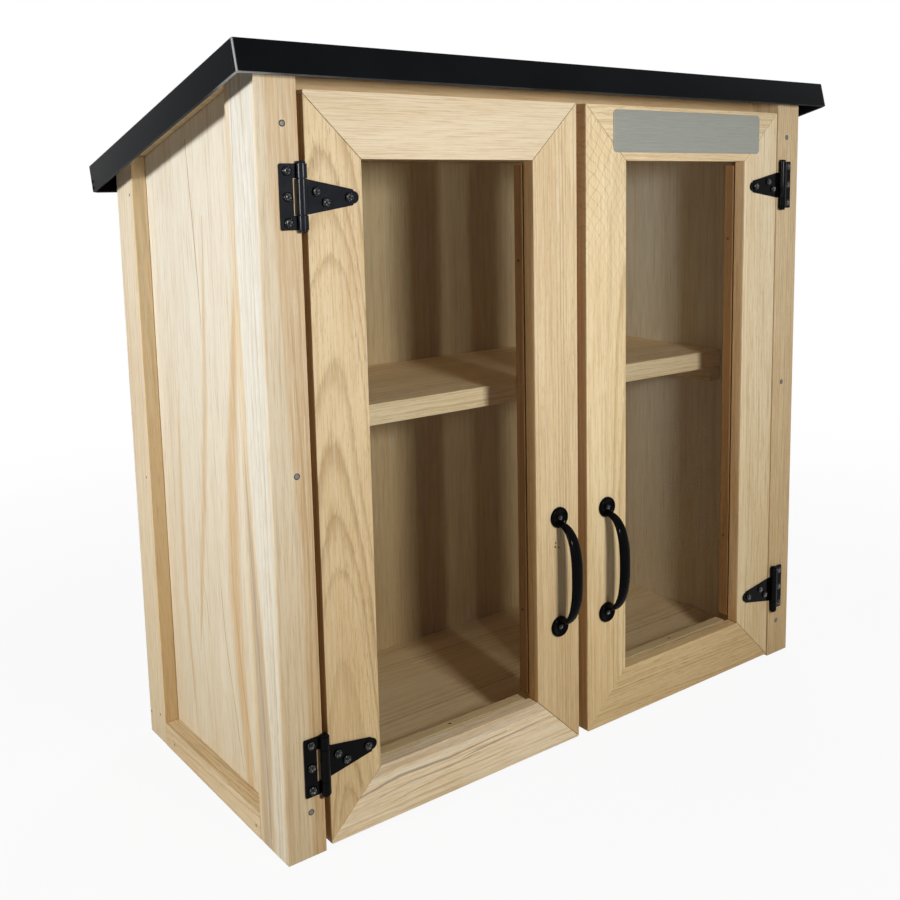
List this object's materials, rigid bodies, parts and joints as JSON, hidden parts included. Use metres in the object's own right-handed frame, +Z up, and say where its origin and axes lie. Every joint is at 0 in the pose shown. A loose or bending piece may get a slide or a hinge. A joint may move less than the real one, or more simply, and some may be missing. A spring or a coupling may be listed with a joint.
{
  "type": "street book exchange box",
  "caption": "Small pine cabinet for sharing books outdoors, with glazed hinged doors, an inner shelf and a sloping metal roof.",
  "frame": {"origin": "centre of the floor board's underside, midway across the width and midway between the posts' front and rear faces", "axes": "+X to the right along the width as seen from the front, +Y to the back of the box, +Z up"},
  "size_m": [0.6408, 0.3181, 0.6113],
  "materials": {
    "pine": "bare planed pine, warm straw colour",
    "pale_pine": "bare planed pine, pale cream with tan stripes",
    "roof_board_wood": "bare thin board",
    "roof_metal": "near-black satin coating on folded sheet",
    "black_hardware": "glossy black coating on steel",
    "clear_pane": "clear flat sheet",
    "zinc_steel": "zinc plated",
    "name_plate_metal": "finely brushed, silver-grey"
  },
  "bodies": {
    "cabinet": {"front_post_left": "pine", "front_post_right": "pine", "rear_post_left": "pale_pine", "rear_post_right": "pale_pine", "side_panel_left": "pale_pine", "side_panel_right": "pale_pine", "side_bottom_rail_left": "pale_pine", "side_bottom_rail_right": "pale_pine", "shelf_cleat_left": "pine", "shelf_cleat_right": "pine", "catch_magnet_left": "zinc_steel", "catch_magnet_right": "zinc_steel", "back_panel": "pale_pine", "back_bottom_rail": "pale_pine", "floor_board": "pine", "shelf_board": "pine", "header_rail": "pine", "roof_cover": "roof_metal", "roof_board": "roof_board_wood", "left_top_hinge_leaf": "black_hardware", "left_top_hinge_pin": "black_hardware", "left_bottom_hinge_leaf": "black_hardware", "left_bottom_hinge_pin": "black_hardware", "right_top_hinge_leaf": "black_hardware", "right_top_hinge_pin": "black_hardware", "right_bottom_hinge_leaf": "black_hardware", "right_bottom_hinge_pin": "black_hardware"},
    "left_door": {"left_door_hinge_stile": "pine", "left_door_handle_stile": "pine", "left_door_bottom_rail": "pine", "left_door_top_rail": "pine", "left_door_pane": "clear_pane", "left_door_hinge_side_retainer": "pine", "left_door_handle_side_retainer": "pine", "left_door_bottom_retainer": "pine", "left_door_top_retainer": "pine", "left_door_strike_plate": "zinc_steel", "left_door_handle": "black_hardware", "left_top_hinge_strap": "black_hardware", "left_bottom_hinge_strap": "black_hardware"},
    "right_door": {"right_door_hinge_stile": "pine", "right_door_handle_stile": "pine", "right_door_bottom_rail": "pine", "right_door_top_rail": "pine", "right_door_pane": "clear_pane", "right_door_hinge_side_retainer": "pine", "right_door_handle_side_retainer": "pine", "right_door_bottom_retainer": "pine", "right_door_top_retainer": "pine", "right_door_strike_plate": "zinc_steel", "right_door_handle": "black_hardware", "right_top_hinge_strap": "black_hardware", "right_bottom_hinge_strap": "black_hardware", "name_plate": "name_plate_metal"}
  },
  "joints": [
    {"name": "left_door_hinge", "type": "hinge", "parent": "cabinet", "child": "left_door", "pos_m": [-0.2679, -0.1444, 0.2885], "axis": [0, 0, -1], "range_deg": [0, 170]},
    {"name": "right_door_hinge", "type": "hinge", "parent": "cabinet", "child": "right_door", "pos_m": [0.27095, -0.1444, 0.2885], "axis": [0, 0, 1], "range_deg": [0, 170]}
  ]
}
